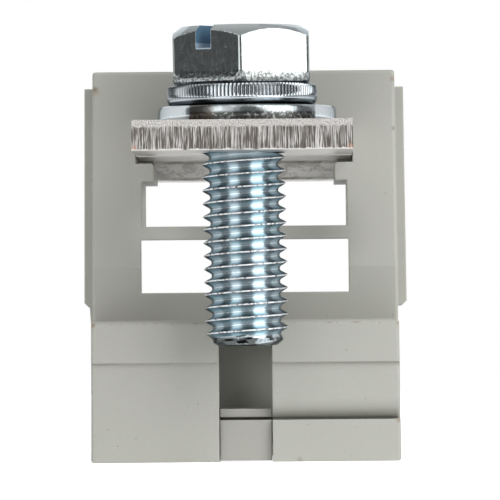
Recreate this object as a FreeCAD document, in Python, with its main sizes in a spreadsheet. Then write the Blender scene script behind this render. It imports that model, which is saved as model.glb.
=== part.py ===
import FreeCAD, Part
import os
import re
import Sketcher
from FreeCAD import Vector

# A single-bolt terminal block for a 35 mm rail. A tinned copper bar passes through a moulded
# housing and carries a tapped hole at its front end, where an M8 bolt clamps ring lugs.
# +Z is up, +Y points away from the bolt, and the origin is the middle of the base's underside.

SIZES = {
    # housing, outer form
    "body_wide": 30.0,
    "body_top_wide": 29.4,
    "roof_thick": 5.3,
    "base_long": 50.0,
    "shelf_high": 13.7,
    "step_high": 9.6,
    "leg_step": 0.35,
    "wall_set_back": 5.0,
    "wall_deep": 20.0,
    "wall_lean": 1.3,
    "lean_high": 18.9,
    "shelf_round": 0.5,
    "corner_round": 0.3,
    # housing, openings under the bar
    "ledge_top": 29.06,
    "ledge_thick": 1.76,
    "ledge_gap": 17.6,
    "ledge_round": 0.35,
    "upper_wide": 20.0,
    "upper_high": 4.4,
    "rib_thick": 1.3,
    "lower_wide": 20.2,
    "lower_high": 5.15,
    "skin": 2.0,
    "cavity_wide": 24.0,
    # housing, seat and catches of the bar
    "bar_side_play": 0.11,
    "bar_top_play": 0.08,
    "bar_lift": 0.66,
    "seat_long": 5.0,
    "catch_gap": 0.28,
    "catch_thick": 1.8,
    "catch_high": 3.2,
    "catch_play": 0.15,
    "nose_reach": 1.1,
    "nose_long": 1.6,
    "catch_root": 0.5,
    # housing, raised panels on both sides and the nib below the left one
    "panel_front": 4.0,
    "panel_long": 13.0,
    "panel_rise": 1.4,
    "panel_drop": 1.5,
    "panel_top_wide": 31.2,
    "panel_low_wide": 31.55,
    "panel_cut": 0.45,
    "nib_high": 2.4,
    "nib_top_reach": 0.55,
    "nib_low_reach": 0.1,
    "nib_long": 3.0,
    # housing, foot
    "rail_wide": 35.0,
    "rail_play": 0.3,
    "seat_high": 4.2,
    "hook_high": 2.8,
    "hook_reach": 1.6,
    "channel_wide": 5.16,
    "channel_roof": 1.3,
    "channel_deep": 9.5,
    "notch_low": 4.05,
    "notch_high": 0.15,
    "notch_deep": 2.2,
    "notch_round": 2.1,
    "core_wall": 1.8,
    "core_rib": 3.0,
    "core_end": 1.8,
    "core_roof": 2.7,
    "marker_wide": 6.0,
    "marker_deep": 1.2,
    "marker_inset": 7.0,
    # clip in the foot
    "clip_play": 0.08,
    "clip_inset": 0.65,
    "clip_lift": 0.15,
    "clip_head_long": 3.0,
    "clip_slot_high": 0.28,
    "clip_lip_inset": 0.9,
    "clip_lip_high": 0.8,
    "clip_back": 0.4,
    "clip_hook_high": 2.6,
    "clip_hook_reach": 1.5,
    "clip_bevel": 1.0,
    "clip_travel": 2.0,
    "tongue_inset": 2.6,
    "tongue_long": 2.2,
    "tongue_reach": 0.7,
    "tongue_low": 1.5,
    "tongue_high": 1.2,
    # conductor bar
    "bar_thick": 2.9,
    "bar_wide": 20.94,
    "bar_overhang": 21.5,
    "bar_tail": 9.0,
    "set_down": 1.85,
    "set_down_run": 0.2,
    "set_down_start": 0.25,
    "bend_round": 0.4,
    "bolt_inset": 10.5,
    # bolt and washers
    "thread_wide": 8.0,
    "thread_pitch": 1.25,
    "thread_deep": 0.73,
    "thread_blunt": 0.02,
    "thread_start": 0.75,
    "thread_play": 0.05,
    "bolt_long": 25.0,
    "tip_bevel": 1.35,
    "head_flats": 13.0,
    "head_high": 5.6,
    "crown_wide": 11.1,
    "crown_slope": 25.0,
    "forged_round": 0.6,
    "slot_wide": 1.6,
    "slot_deep": 2.4,
    "slot_turn": 33.0,
    "spring_thick": 2.1,
    "spring_outer": 14.4,
    "spring_inner": 8.3,
    "spring_split": 1.2,
    "spring_skew": 1.0,
    "flat_thick": 1.5,
    "flat_outer": 17.1,
    "flat_inner": 9.0,
    "flat_offset": 0.4,
    "flat_round": 0.15,
}

# places that several pieces share, as formulas in the sizes above
BASE_FRONT = "(-base_long / 2)"
LEG_FRONT = "(-base_long / 2 + leg_step)"
WALL_FRONT = "(-base_long / 2 + wall_set_back)"
WALL_REAR = "(-base_long / 2 + wall_set_back + wall_deep)"
LEDGE_LOW = "(ledge_top - ledge_thick)"
UPPER_SILL = "(ledge_top - ledge_thick - upper_high)"
LOWER_TOP = "(ledge_top - ledge_thick - upper_high - rib_thick)"
LOWER_SILL = "(ledge_top - ledge_thick - upper_high - rib_thick - lower_high)"
BAR_LOW = "(ledge_top + bar_lift)"
BAR_TOP = "(ledge_top + bar_lift + bar_thick)"
BAR_FRONT = "(-base_long / 2 + wall_set_back - bar_overhang)"
BAR_REAR = "(-base_long / 2 + wall_set_back + wall_deep + bar_tail)"
BOLT_PLACE = "(-base_long / 2 + wall_set_back - bar_overhang + bolt_inset)"
SLOT_HALF = "(bar_wide / 2 + bar_side_play)"
SLOT_TOP = "(ledge_top + bar_lift + bar_thick + bar_top_play)"
TOTAL_HIGH = "(ledge_top + bar_lift + bar_thick + bar_top_play + roof_thick)"
PANEL_LOW = "(shelf_high + panel_rise)"
RECESS_HALF = "(rail_wide / 2 + rail_play)"
CLIP_FRONT = "(-base_long / 2 + leg_step + clip_inset)"
CLIP_HALF = "(channel_wide / 2 - clip_play)"
CLIP_TOP = "(notch_low + clip_slot_high + clip_lip_high)"
TONGUE_FRONT = "(-base_long / 2 + leg_step + clip_inset + tongue_inset)"
CORNER_RADIUS = "(head_flats / 2 / cos(30))"

doc = FreeCAD.newDocument("terminal_block")
sheet = doc.addObject("Spreadsheet::Sheet", "Sizes")
for row, (alias, value) in enumerate(SIZES.items(), start=1):
    sheet.set(f"A{row}", alias)
    sheet.set(f"B{row}", str(value))
    sheet.setAlias(f"B{row}", alias)
doc.recompute()


def in_sheet(formula):
    """The formula with each size's name led back to its cell in the sheet."""
    return re.sub(r"[a-z_]+", lambda m: "Sizes." + m[0] if m[0] in SIZES else m[0], formula)


def value_of(formula):
    """What a formula comes to with the sheet's present numbers."""
    return float(sheet.evalExpression(in_sheet(formula).replace("Sizes.", "")))


def bind(thing, prop, formula):
    thing.setExpression(prop, in_sheet(formula))


def new_body(label):
    body = doc.addObject("PartDesign::Body", label)
    body.Label = label
    return body


def place(body, x, y, z):
    """Put a body, drawn about its own origin, where it sits in the assembly."""
    for axis, formula in zip("xyz", (x, y, z)):
        bind(body, f"Placement.Base.{axis}", formula)


def new_sketch(body, plane, offset="0"):
    """A sketch on one of the body's own planes, moved along that plane's normal."""
    sketch = body.newObject("Sketcher::SketchObject", "sketch")
    support = [f for f in body.Origin.OriginFeatures if f.Role == plane][0]
    sketch.AttachmentSupport = [(support, "")]
    sketch.MapMode = "FlatFace"
    bind(sketch, "AttachmentOffset.Base.z", offset)
    return sketch


def hold(sketch, kind, item, point, formula):
    """Hold one coordinate of a point at a formula's value."""
    number = sketch.addConstraint(
        Sketcher.Constraint(kind, -1, 1, item, point, value_of(formula))
    )
    bind(sketch, f"Constraints[{number}]", formula)


def draw_outline(sketch, corners):
    """A closed outline of straight lines whose corners are pairs of formulas."""
    points = [Vector(value_of(x), value_of(y), 0) for x, y in corners]
    first = sketch.GeometryCount
    count = len(points)
    for i, point in enumerate(points):
        sketch.addGeometry(Part.LineSegment(point, points[(i + 1) % count]))
    for i in range(count):
        following = first + (i + 1) % count
        sketch.addConstraint(Sketcher.Constraint("Coincident", first + i, 2, following, 1))
    for i, (x, y) in enumerate(corners):
        hold(sketch, "DistanceX", first + i, 1, x)
        hold(sketch, "DistanceY", first + i, 1, y)


def draw_circle(sketch, radius, x="0", y="0"):
    centre = Vector(value_of(x), value_of(y), 0)
    item = sketch.addGeometry(Part.Circle(centre, Vector(0, 0, 1), value_of(radius)))
    hold(sketch, "DistanceX", item, 3, x)
    hold(sketch, "DistanceY", item, 3, y)
    number = sketch.addConstraint(Sketcher.Constraint("Radius", item, value_of(radius)))
    bind(sketch, f"Constraints[{number}]", radius)


def rectangle(left, right, low, high):
    return [(left, low), (right, low), (right, high), (left, high)]


def other_side(corners):
    """The same outline mirrored across the sketch's upright axis."""
    return [(f"-({x})", y) for x, y in corners]


def finish_feature(feature, sketch, length, backwards, both_ways):
    feature.Profile = sketch
    feature.Reversed = backwards
    if both_ways:
        feature.SideType = "Symmetric"
    if length:
        bind(feature, "Length", length)
    else:
        feature.Type = "ThroughAll"
    sketch.Visibility = False
    doc.recompute()
    return feature


def pad(body, sketch, length, backwards=False, both_ways=False):
    feature = body.newObject("PartDesign::Pad", "pad")
    return finish_feature(feature, sketch, length, backwards, both_ways)


def pocket(body, sketch, length=None, backwards=False, both_ways=False):
    """Cut a sketch away, and stop if the cut met no material."""
    before = body.Shape.Volume
    feature = body.newObject("PartDesign::Pocket", "pocket")
    finish_feature(feature, sketch, length, backwards, both_ways)
    if body.Shape.Volume > before - 1e-6:
        raise RuntimeError(f"a pocket of {body.Label} cuts nothing")
    return feature


def turn_away(body, sketch):
    """Turn a sketch round its upright axis and cut it away, as on a lathe."""
    before = body.Shape.Volume
    feature = body.newObject("PartDesign::Groove", "groove")
    feature.Profile = sketch
    feature.ReferenceAxis = (sketch, ["V_Axis"])
    feature.Angle = 360
    sketch.Visibility = False
    doc.recompute()
    if body.Shape.Volume > before - 1e-6:
        raise RuntimeError(f"a groove of {body.Label} cuts nothing")
    return feature


def edges_where(feature, test):
    """Names of a feature's edges whose middle passes a test."""
    names = []
    for number, edge in enumerate(feature.Shape.Edges, start=1):
        if not edge.Degenerated and test(edge.CenterOfMass, edge):
            names.append(f"Edge{number}")
    return names


def near(a, formula, slack=0.02):
    return abs(a - value_of(formula)) < slack


def along(edge, axis):
    """Whether a straight edge runs along x, y or z."""
    if edge.Curve.TypeId != "Part::GeomLine":
        return False
    return abs(getattr(edge.tangentAt(edge.FirstParameter), axis)) > 0.999


def round_edges(body, test, radius):
    feature = body.newObject("PartDesign::Fillet", "round")
    feature.Base = (feature.BaseFeature, edges_where(feature.BaseFeature, test))
    bind(feature, "Radius", radius)
    doc.recompute()
    return feature


def bevel_edges(body, test, size):
    feature = body.newObject("PartDesign::Chamfer", "bevel")
    feature.Base = (feature.BaseFeature, edges_where(feature.BaseFeature, test))
    bind(feature, "Size", size)
    doc.recompute()
    return feature


def make_outer_form(body):
    """The side profile across the whole width, then draft on both sides."""
    side = new_sketch(body, "YZ_Plane")
    draw_outline(
        side,
        [
            (LEG_FRONT, "0"),
            (LEG_FRONT, "step_high"),
            (BASE_FRONT, "step_high"),
            (BASE_FRONT, "shelf_high"),
            (f"{WALL_FRONT} + wall_lean", "shelf_high"),
            (WALL_FRONT, "lean_high"),
            (WALL_FRONT, TOTAL_HIGH),
            (WALL_REAR, TOTAL_HIGH),
            (WALL_REAR, "shelf_high"),
            ("base_long / 2", "shelf_high"),
            ("base_long / 2", "step_high"),
            ("base_long / 2 - leg_step", "step_high"),
            ("base_long / 2 - leg_step", "0"),
        ],
    )
    block = pad(body, side, "body_wide", both_ways=True)
    sides = [
        f"Face{number}"
        for number, face in enumerate(block.Shape.Faces, start=1)
        if near(abs(face.CenterOfMass.x), "body_wide / 2")
    ]
    draft = body.newObject("PartDesign::Draft", "draft")
    draft.Base = (block, sides)
    ground = [f for f in body.Origin.OriginFeatures if f.Role == "XY_Plane"][0]
    draft.NeutralPlane = (ground, [""])
    bind(draft, "Angle", f"atan((body_wide - body_top_wide) / 2 / {TOTAL_HIGH})")
    doc.recompute()


def make_side_panels(body):
    """The raised panel on each side of the wall, and the nib that only the left one has."""
    panels = new_sketch(body, "XZ_Plane", f"-({WALL_FRONT} + panel_front)")
    root = "body_top_wide / 2 - panel_cut"
    panel = [
        (root, PANEL_LOW),
        ("panel_low_wide / 2 - panel_cut", PANEL_LOW),
        ("panel_low_wide / 2", f"{PANEL_LOW} + panel_cut"),
        ("panel_top_wide / 2", f"{TOTAL_HIGH} - panel_drop"),
        (root, f"{TOTAL_HIGH} - panel_drop"),
    ]
    draw_outline(panels, panel)
    draw_outline(panels, other_side(panel))
    pad(body, panels, "panel_long", backwards=True)
    nib = new_sketch(body, "XZ_Plane", f"-({WALL_FRONT} + panel_front)")
    draw_outline(
        nib,
        [
            (f"-({root})", f"{PANEL_LOW} + panel_cut"),
            ("-(body_top_wide / 2 + nib_top_reach)", f"{PANEL_LOW} + panel_cut"),
            ("-(body_top_wide / 2 + nib_top_reach)", PANEL_LOW),
            ("-(body_wide / 2 + nib_low_reach)", f"{PANEL_LOW} - nib_high"),
            (f"-({root})", f"{PANEL_LOW} - nib_high"),
        ],
    )
    pad(body, nib, "nib_long", backwards=True)


def cut_wall_openings(body):
    """The slot that the bar lies in, its two ledges, and the windows below them."""
    passage = new_sketch(body, "XZ_Plane", f"-{BASE_FRONT}")
    right = [
        ("upper_wide / 2", UPPER_SILL),
        ("upper_wide / 2", LEDGE_LOW),
        ("ledge_gap / 2", LEDGE_LOW),
        ("ledge_gap / 2", "ledge_top"),
        (SLOT_HALF, "ledge_top"),
        (SLOT_HALF, SLOT_TOP),
    ]
    draw_outline(passage, right + other_side(right)[::-1])
    pocket(body, passage)
    window = new_sketch(body, "XZ_Plane", f"-{BASE_FRONT}")
    draw_outline(
        window, rectangle("-lower_wide / 2", "lower_wide / 2", LOWER_SILL, LOWER_TOP)
    )
    pocket(body, window)
    cavity = new_sketch(body, "XZ_Plane", f"-({WALL_FRONT} + skin)")
    draw_outline(
        cavity, rectangle("-cavity_wide / 2", "cavity_wide / 2", LOWER_SILL, UPPER_SILL)
    )
    pocket(body, cavity)


def make_bar_seat(body):
    """Two pads on the ledges that carry the bar, and two sprung catches behind its end."""
    seats = new_sketch(body, "XZ_Plane", f"-({WALL_REAR} - seat_long)")
    seat = rectangle("ledge_gap / 2 + ledge_round", f"{SLOT_HALF} + skin / 2", "ledge_top", BAR_LOW)
    draw_outline(seats, seat)
    draw_outline(seats, other_side(seat))
    pad(body, seats, "seat_long", backwards=True)
    inner = "bar_wide / 2 + catch_gap"
    tip = f"{BAR_REAR} + catch_play"
    catch = [
        (inner, f"{WALL_REAR} - catch_root"),
        (inner, tip),
        (f"{inner} - nose_reach", tip),
        (inner, f"{tip} + nose_long"),
        (f"{inner} + catch_thick", f"{tip} + nose_long"),
        (f"{inner} + catch_thick", f"{WALL_REAR} - catch_root"),
    ]
    catches = new_sketch(body, "XY_Plane", f"{BAR_LOW} - set_down + (bar_thick - catch_high) / 2")
    draw_outline(catches, catch)
    draw_outline(catches, other_side(catch))
    pad(body, catches, "catch_high")


def cut_foot(body):
    """The rail recess with its fixed hook, and the passage, channel and grooves of the clip."""
    rail = new_sketch(body, "YZ_Plane")
    draw_outline(
        rail,
        [
            (f"-{RECESS_HALF}", "0"),
            (f"-{RECESS_HALF}", "seat_high"),
            (RECESS_HALF, "seat_high"),
            (RECESS_HALF, "hook_high"),
            (f"{RECESS_HALF} - hook_reach", "hook_high"),
            (f"{RECESS_HALF} - hook_reach", "0"),
        ],
    )
    pocket(body, rail, both_ways=True)
    half = "channel_wide / 2"
    passage = new_sketch(body, "XZ_Plane", f"-{BASE_FRONT}")
    draw_outline(passage, rectangle(f"-{half}", half, "0", f"{CLIP_TOP} + clip_play"))
    pocket(body, passage, f"base_long / 2 - {RECESS_HALF}")
    channel = new_sketch(body, "XZ_Plane", f"-{BASE_FRONT}")
    draw_outline(channel, rectangle(f"-{half}", half, "0", "shelf_high - channel_roof"))
    pocket(body, channel, "channel_deep")
    grooves = new_sketch(body, "XZ_Plane", f"-({TONGUE_FRONT} - clip_travel - clip_play)")
    draw_outline(
        grooves,
        rectangle(
            f"-({CLIP_HALF} + tongue_reach + clip_play)",
            f"{CLIP_HALF} + tongue_reach + clip_play",
            "clip_lift + tongue_low - clip_play",
            "clip_lift + tongue_low + tongue_high + clip_play",
        ),
    )
    pocket(body, grooves, "tongue_long + clip_travel + 2 * clip_play")
    cores = new_sketch(body, "XY_Plane", "seat_high")
    for front, rear in (
        (f"-({RECESS_HALF} - core_end)", "-core_rib / 2"),
        ("core_rib / 2", f"{RECESS_HALF} - core_end"),
    ):
        core = rectangle(
            "channel_wide / 2 + core_wall", "body_top_wide / 2 - core_wall", front, rear
        )
        draw_outline(cores, core)
        draw_outline(cores, other_side(core))
    pocket(body, cores, "shelf_high - core_roof - seat_high", backwards=True)


def cut_details(body):
    """The rounded notch across the right leg and the marker groove behind the wall."""
    notch = new_sketch(body, "YZ_Plane", "channel_wide / 2")
    draw_outline(
        notch,
        rectangle(BASE_FRONT, f"{LEG_FRONT} + notch_deep", "notch_low", "notch_low + notch_high"),
    )
    pocket(body, notch, backwards=True)
    marker = new_sketch(body, "YZ_Plane")
    draw_outline(
        marker,
        rectangle(
            "base_long / 2 - marker_inset - marker_wide",
            "base_long / 2 - marker_inset",
            "shelf_high - marker_deep",
            "shelf_high",
        ),
    )
    pocket(body, marker, both_ways=True)


def round_housing(body):
    outer = value_of("body_top_wide / 2")

    def front_corner(at, edge):
        """The upright corners of the wall and of the base's front, left and right."""
        steep = edge.Length > 2 and edge.BoundBox.ZLength > 0.9 * edge.Length
        return steep and abs(at.x) >= outer and at.y < value_of(WALL_FRONT) + 2

    def foot_edge(at, edge):
        return along(edge, "y") and near(abs(at.x), "body_wide / 2") and near(at.z, "0")

    def notch_lip(at, edge):
        return along(edge, "x") and near(at.y, LEG_FRONT) and near(at.z, "notch_low + notch_high")

    def shelf_edge(at, edge):
        return along(edge, "x") and near(abs(at.y), "base_long / 2") and near(at.z, "shelf_high")

    def ledge_corner(at, edge):
        inner = near(abs(at.x), "ledge_gap / 2") and edge.Length > value_of("seat_long")
        return along(edge, "y") and inner and near(at.z, "ledge_top")

    def outer_edge(at, edge):
        return near(at.z, TOTAL_HIGH) or front_corner(at, edge) or foot_edge(at, edge)

    round_edges(body, notch_lip, "notch_round")
    round_edges(body, shelf_edge, "shelf_round")
    round_edges(body, ledge_corner, "ledge_round")
    round_edges(body, outer_edge, "corner_round")


def make_housing():
    body = new_body("housing")
    make_outer_form(body)
    make_side_panels(body)
    cut_wall_openings(body)
    make_bar_seat(body)
    cut_foot(body)
    cut_details(body)
    round_housing(body)
    return body


def make_busbar():
    """Flat bar, set down behind the housing's wall so that it can't be drawn forwards."""
    body = new_body("busbar")
    shift = "(bar_thick * tan(atan(set_down / set_down_run) / 2))"
    fold = f"({WALL_REAR} + set_down_start)"
    side = new_sketch(body, "YZ_Plane")
    draw_outline(
        side,
        [
            (BAR_FRONT, BAR_LOW),
            (fold, BAR_LOW),
            (f"{fold} + set_down_run", f"{BAR_LOW} - set_down"),
            (BAR_REAR, f"{BAR_LOW} - set_down"),
            (BAR_REAR, f"{BAR_TOP} - set_down"),
            (f"{fold} + set_down_run + {shift}", f"{BAR_TOP} - set_down"),
            (f"{fold} + {shift}", BAR_TOP),
            (BAR_FRONT, BAR_TOP),
        ],
    )
    pad(body, side, "bar_wide", both_ways=True)
    hole = new_sketch(body, "XY_Plane")
    draw_circle(hole, "thread_wide / 2 + thread_play", y=BOLT_PLACE)
    pocket(body, hole, both_ways=True)

    def bend(at, edge):
        inside = value_of(WALL_REAR) < at.y < value_of(f"{BAR_REAR} - bend_round")
        return along(edge, "x") and inside

    round_edges(body, bend, "bend_round")
    return body


def cut_thread(body):
    """The thread as a row of V's turned into the shank, one to each pitch."""
    ring = new_sketch(body, "XZ_Plane")
    root = "(thread_wide / 2 - thread_deep)"
    middle = "(-bolt_long + tip_bevel + thread_start)"
    outside = "(thread_wide / 2 + thread_deep - 2 * thread_blunt)"
    draw_outline(
        ring,
        [
            (root, middle),
            (outside, f"{middle} - thread_pitch"),
            (outside, f"{middle} + thread_pitch"),
        ],
    )
    first = turn_away(body, ring)
    turns = "floor((bolt_long - tip_bevel - thread_start) / thread_pitch)"
    row = body.newObject("PartDesign::LinearPattern", "turns")
    row.Originals = [first]
    row.Direction = (ring, ["V_Axis"])
    bind(row, "Occurrences", turns)
    bind(row, "Length", f"({turns} - 1) * thread_pitch")
    body.Tip = row
    doc.recompute()


def make_bolt():
    """Slotted hexagon bolt, drawn about the middle of its bearing face. Its thread is rings."""
    body = new_body("terminal_bolt")
    hexagon = new_sketch(body, "XY_Plane")
    draw_outline(
        hexagon,
        [
            (f"{CORNER_RADIUS} * cos({turn})", f"{CORNER_RADIUS} * sin({turn})")
            for turn in range(-90, 270, 60)
        ],
    )
    pad(body, hexagon, "head_high")
    round_edges(body, lambda at, edge: near(at.z, "0"), "forged_round")
    crown = new_sketch(body, "XZ_Plane")
    rim = "(head_flats)"
    draw_outline(
        crown,
        [
            ("crown_wide / 2", "head_high"),
            (rim, "head_high"),
            (rim, f"head_high - ({rim} - crown_wide / 2) * tan(crown_slope)"),
        ],
    )
    turn_away(body, crown)
    slot = new_sketch(body, "XY_Plane", "head_high")
    draw_outline(
        slot,
        [
            (
                f"{end} * head_flats * sin(slot_turn) + {side} * slot_wide / 2 * cos(slot_turn)",
                f"{end} * head_flats * cos(slot_turn) - {side} * slot_wide / 2 * sin(slot_turn)",
            )
            for end, side in ((-1, -1), (-1, 1), (1, 1), (1, -1))
        ],
    )
    pocket(body, slot, "slot_deep")
    shank = new_sketch(body, "XY_Plane")
    draw_circle(shank, "thread_wide / 2")
    pad(body, shank, "bolt_long", backwards=True)
    bevel_edges(body, lambda at, edge: near(at.z, "-bolt_long"), "tip_bevel")
    cut_thread(body)
    place(body, "0", BOLT_PLACE, f"{BAR_TOP} + flat_thick + spring_thick")
    return body


def make_spring_washer():
    """Split ring of square wire, pressed flat, with its slanted gap towards the wall."""
    body = new_body("spring_washer")
    ring = new_sketch(body, "XY_Plane")
    draw_circle(ring, "spring_outer / 2")
    draw_circle(ring, "spring_inner / 2")
    pad(body, ring, "spring_thick")
    gap = new_sketch(body, "XZ_Plane")
    low = "-(spring_skew + spring_split) / 2"
    high = "(spring_skew - spring_split) / 2"
    draw_outline(
        gap,
        [
            (low, "0"),
            (f"{low} + spring_split", "0"),
            (f"{high} + spring_split", "spring_thick"),
            (high, "spring_thick"),
        ],
    )
    pocket(body, gap, "spring_outer")
    place(body, "0", BOLT_PLACE, f"{BAR_TOP} + flat_thick")
    return body


def make_flat_washer():
    """Punched washer, which lies a little off the bolt's axis in its hole's play."""
    body = new_body("flat_washer")
    ring = new_sketch(body, "XY_Plane")
    draw_circle(ring, "flat_outer / 2")
    draw_circle(ring, "flat_inner / 2")
    pad(body, ring, "flat_thick")

    def punched_rim(at, edge):
        return near(edge.Length, "pi * flat_outer") and near(at.z, "flat_thick")

    round_edges(body, punched_rim, "flat_round")
    place(body, "flat_offset", BOLT_PLACE, BAR_TOP)
    return body


def make_rail_clip():
    """Sliding clip. Its hook grips the rail's front edge, and two tongues carry it in the legs."""
    body = new_body("rail_clip")
    side = new_sketch(body, "YZ_Plane")
    head_back = f"({CLIP_FRONT} + clip_head_long)"
    slot_top = "(notch_low + clip_slot_high)"
    shoulder = f"(-{RECESS_HALF} - clip_back)"
    hook_tip = f"(-{RECESS_HALF} + clip_hook_reach)"
    draw_outline(
        side,
        [
            (CLIP_FRONT, "clip_lift"),
            (CLIP_FRONT, "notch_low"),
            (head_back, "notch_low"),
            (head_back, slot_top),
            (f"{CLIP_FRONT} + clip_lip_inset", slot_top),
            (f"{CLIP_FRONT} + clip_lip_inset", CLIP_TOP),
            (shoulder, CLIP_TOP),
            (shoulder, "clip_hook_high"),
            (hook_tip, "clip_hook_high"),
            (hook_tip, "clip_lift + clip_bevel"),
            (f"{hook_tip} - clip_bevel", "clip_lift"),
        ],
    )
    pad(body, side, f"2 * {CLIP_HALF}", both_ways=True)
    tongues = new_sketch(body, "XZ_Plane", f"-{TONGUE_FRONT}")
    draw_outline(
        tongues,
        rectangle(
            f"-({CLIP_HALF} + tongue_reach)",
            f"{CLIP_HALF} + tongue_reach",
            "clip_lift + tongue_low",
            "clip_lift + tongue_low + tongue_high",
        ),
    )
    pad(body, tongues, "tongue_long", backwards=True)
    return body


def check_document():
    for thing in doc.Objects:
        if "Invalid" in thing.State or "Error" in thing.State:
            raise RuntimeError(f"{thing.Label} failed: {thing.State}")


pieces = [
    make_housing(),
    make_busbar(),
    make_bolt(),
    make_spring_washer(),
    make_flat_washer(),
    make_rail_clip(),
]
doc.recompute()
check_document()
os.makedirs("parts", exist_ok=True)
for piece in pieces:
    shape = piece.Shape
    if shape.isNull() or not shape.isValid():
        raise RuntimeError(f"{piece.Label} has no valid shape")
    print(piece.Label, len(shape.Solids), round(shape.Volume, 1), shape.BoundBox)
for piece in pieces:
    piece.Shape.exportStep(f"parts/{piece.Label}.step")
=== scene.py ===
# %% [markdown]
# # A bolted terminal block, dressed for a photograph
#
# The object is one single-bolt terminal for a 35 mm rail: a grey moulding, a tin-plated copper
# bar that comes out of its front wall, and a zinc-plated M8 bolt with two washers. The solids
# come from CAD, in metres, and they stay where they are. This lesson adds what CAD leaves out:
# the thread's helix, the ribs on the spring washer, the torn end of the bar and the finishes.

# %% Load the frame and keep its size
import math

import bmesh
import bpy
from mathutils import Matrix, Quaternion, Vector


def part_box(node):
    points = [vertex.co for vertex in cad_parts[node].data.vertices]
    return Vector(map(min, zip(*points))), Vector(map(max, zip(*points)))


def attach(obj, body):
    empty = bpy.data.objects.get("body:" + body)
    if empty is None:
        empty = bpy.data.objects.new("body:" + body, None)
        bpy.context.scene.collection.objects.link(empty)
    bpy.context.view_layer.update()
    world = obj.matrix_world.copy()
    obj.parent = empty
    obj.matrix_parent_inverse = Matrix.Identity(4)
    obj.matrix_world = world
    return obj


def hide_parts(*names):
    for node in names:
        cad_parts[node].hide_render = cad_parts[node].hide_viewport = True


MM = 0.001
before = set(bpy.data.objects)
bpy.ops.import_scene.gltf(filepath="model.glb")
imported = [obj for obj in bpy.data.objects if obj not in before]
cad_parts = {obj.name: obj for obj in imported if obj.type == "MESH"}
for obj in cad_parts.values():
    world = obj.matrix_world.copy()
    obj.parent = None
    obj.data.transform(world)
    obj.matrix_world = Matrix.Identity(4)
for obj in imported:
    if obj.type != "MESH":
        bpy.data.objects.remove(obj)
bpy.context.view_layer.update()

# %% [markdown]
# ## Camera
#
# The photograph looks along the bar with a long lens, so near and far edges almost coincide.
# Where they don't, they tell the distance: the side faces of the ledges put the lens about
# 0.7 m away and a centimetre above the floor. A narrow lens from that place gives the same
# overlaps, while a nearer one would open up the sides. A roll of half a degree leans the block
# to the left as in the photograph.

# %% Place the camera
CAMERA_AT = Vector((5.05, -706.0, 10.8)) * MM
AIM_AT = Vector((0.58, -31.0, 20.4)) * MM
FOCAL_LENGTH = 507.4
ROLL = math.radians(-0.5)
camera_data = bpy.data.cameras.new("long_lens")
camera_data.lens = FOCAL_LENGTH
camera_data.sensor_width = 36.0
camera_data.clip_start = 0.05
camera = bpy.data.objects.new("long_lens", camera_data)
bpy.context.collection.objects.link(camera)
camera.location = CAMERA_AT
camera.rotation_mode = "QUATERNION"
roll = Quaternion((0, 0, 1), ROLL)
camera.rotation_quaternion = (AIM_AT - CAMERA_AT).to_track_quat("-Z", "Y") @ roll
bpy.context.scene.camera = camera
bpy.context.scene.view_settings.view_transform = "Standard"

# %% [markdown]
# ## Helpers for materials
#
# Every finish below is a small network of nodes. A helper that adds a node, sets its sockets
# and links what is given as a socket keeps such a network readable. The same helper serves the
# world. All patterns read Object coordinates, which are metres here, so a noise scale of 2000
# gives grains of half a millimetre.

# %% Node helpers
class Tree:
    """Adds nodes to one node tree and links them by the names of their sockets."""

    def __init__(self, tree):
        self.tree = tree

    def feed(self, socket, value):
        if isinstance(value, bpy.types.NodeSocket):
            self.tree.links.new(value, socket)
        else:
            socket.default_value = value

    def add(self, kind, inputs=None, **settings):
        node = self.tree.nodes.new(kind)
        for key, value in settings.items():
            setattr(node, key, value)
        for key, value in (inputs or {}).items():
            self.feed(node.inputs[key], value)
        return node

    def math(self, operation, a, b=0.5, c=0.5):
        return self.add("ShaderNodeMath", {0: a, 1: b, 2: c}, operation=operation).outputs[0]

    def shown(self):
        """1 for the rays that show the surroundings: to the camera, mirrored or seen through."""
        rays = self.add("ShaderNodeLightPath").outputs
        shown = self.math("MAXIMUM", rays["Is Camera Ray"], rays["Is Glossy Ray"])
        return self.math("MAXIMUM", shown, rays["Is Transmission Ray"])


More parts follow.
